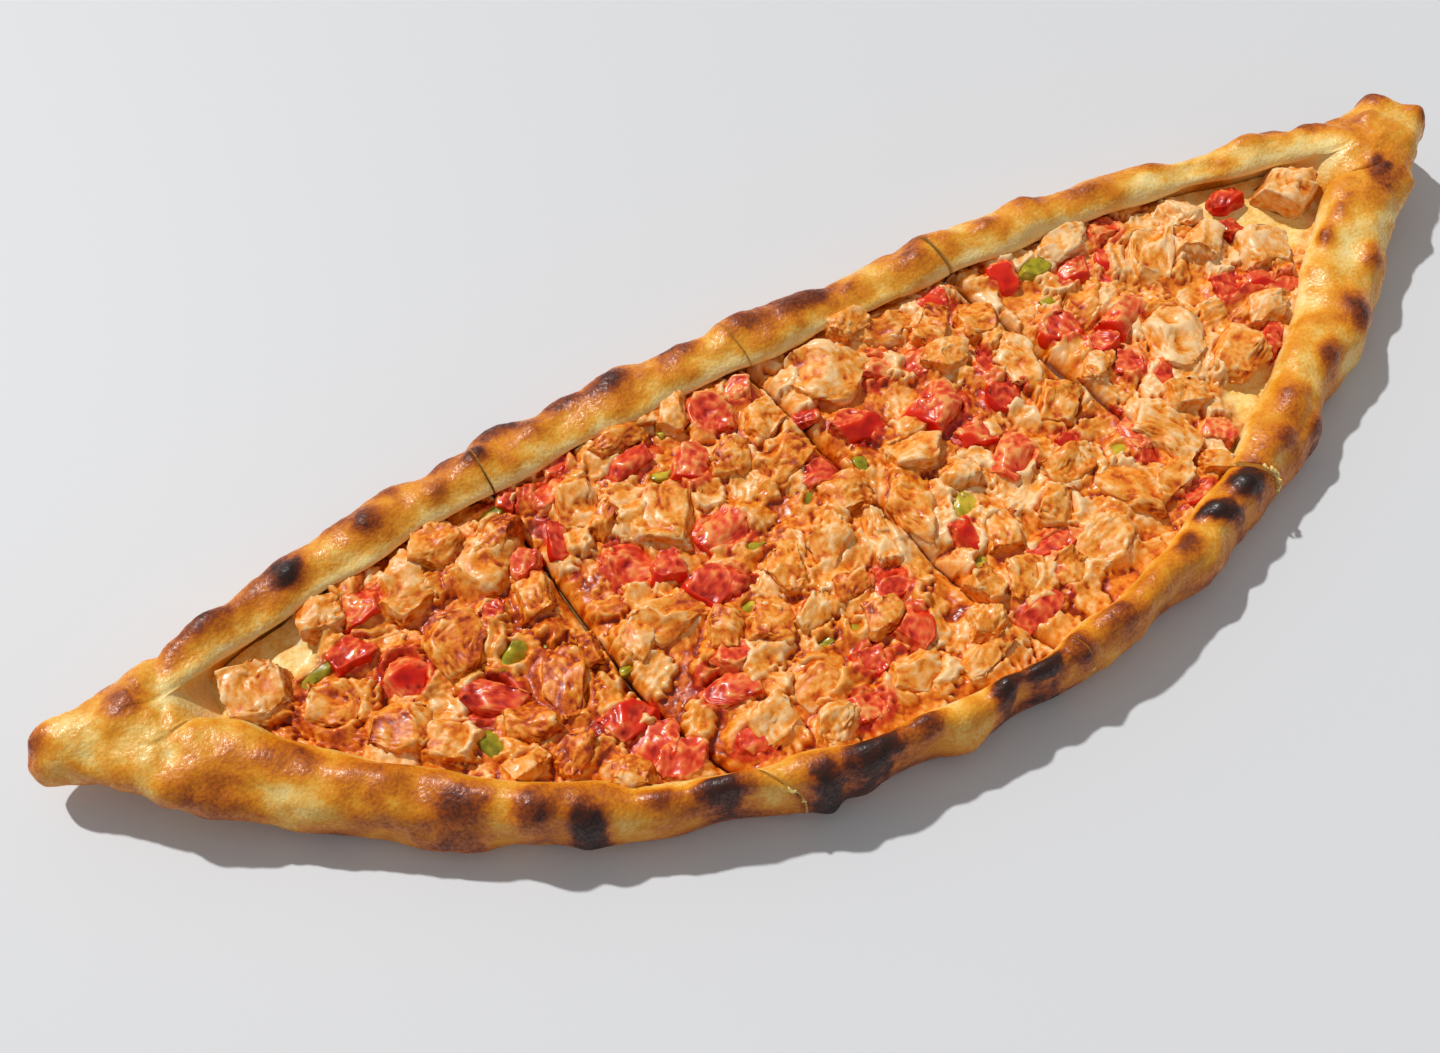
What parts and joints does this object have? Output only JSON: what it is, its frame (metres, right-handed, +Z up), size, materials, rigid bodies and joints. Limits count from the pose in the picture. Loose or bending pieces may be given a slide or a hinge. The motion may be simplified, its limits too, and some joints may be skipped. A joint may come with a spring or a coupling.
{
  "type": "turkish pide",
  "caption": "Long boat-shaped Turkish pide with browned folded rims, cut into slices and filled with chicken, tomato and green pepper pieces on melted cheese and sauce.",
  "frame": {"origin": "middle of the footprint, on the surface the pide lies on", "axes": "+X from nose to nose, +Y towards the straighter long side, +Z up"},
  "size_m": [0.4992, 0.1585, 0.0264],
  "materials": {
    "baked_dough": "golden baked bread dough, browned and scorched on the rims, dull",
    "sauce_and_cheese": "melted cheese with tomato sauce and orange oil, softly shiny and uneven",
    "chicken": "fried chicken pieces, cream to orange, moist",
    "tomato": "cooked tomato pieces, red, wet",
    "green_pepper": "cooked green pepper pieces, yellow-green, wet"
  },
  "bodies": {
    "root": {"dough_slice_1": "baked_dough", "dough_slice_2": "baked_dough", "dough_slice_3": "baked_dough", "dough_slice_4": "baked_dough", "filling_slice_1": "sauce_and_cheese", "filling_slice_2": "sauce_and_cheese", "filling_slice_3": "sauce_and_cheese", "filling_slice_4": "sauce_and_cheese", "chicken_01": "chicken", "chicken_02": "chicken", "chicken_03": "chicken", "chicken_04": "chicken", "chicken_05": "chicken", "chicken_06": "chicken", "chicken_07": "chicken", "chicken_08": "chicken", "chicken_09": "chicken", "chicken_10": "chicken", "chicken_11": "chicken", "chicken_12": "chicken", "chicken_13": "chicken", "chicken_14": "chicken", "chicken_15": "chicken", "chicken_16": "chicken", "chicken_17": "chicken", "chicken_18": "chicken", "chicken_19": "chicken", "chicken_20": "chicken", "chicken_21": "chicken", "chicken_22": "chicken", "chicken_23": "chicken", "chicken_24": "chicken", "chicken_25": "chicken", "chicken_26": "chicken", "chicken_27": "chicken", "chicken_28": "chicken", "chicken_29": "chicken", "chicken_30": "chicken", "chicken_31": "chicken", "chicken_32": "chicken", "chicken_33": "chicken", "chicken_34": "chicken", "tomato_01": "tomato", "tomato_02": "tomato", "tomato_03": "tomato", "tomato_04": "tomato", "tomato_05": "tomato", "tomato_06": "tomato", "tomato_07": "tomato", "tomato_08": "tomato", "tomato_09": "tomato", "tomato_10": "tomato", "tomato_11": "tomato", "tomato_12": "tomato", "tomato_13": "tomato", "tomato_14": "tomato", "tomato_15": "tomato", "tomato_16": "tomato", "pepper_01": "green_pepper", "pepper_02": "green_pepper"}
  },
  "joints": []
}
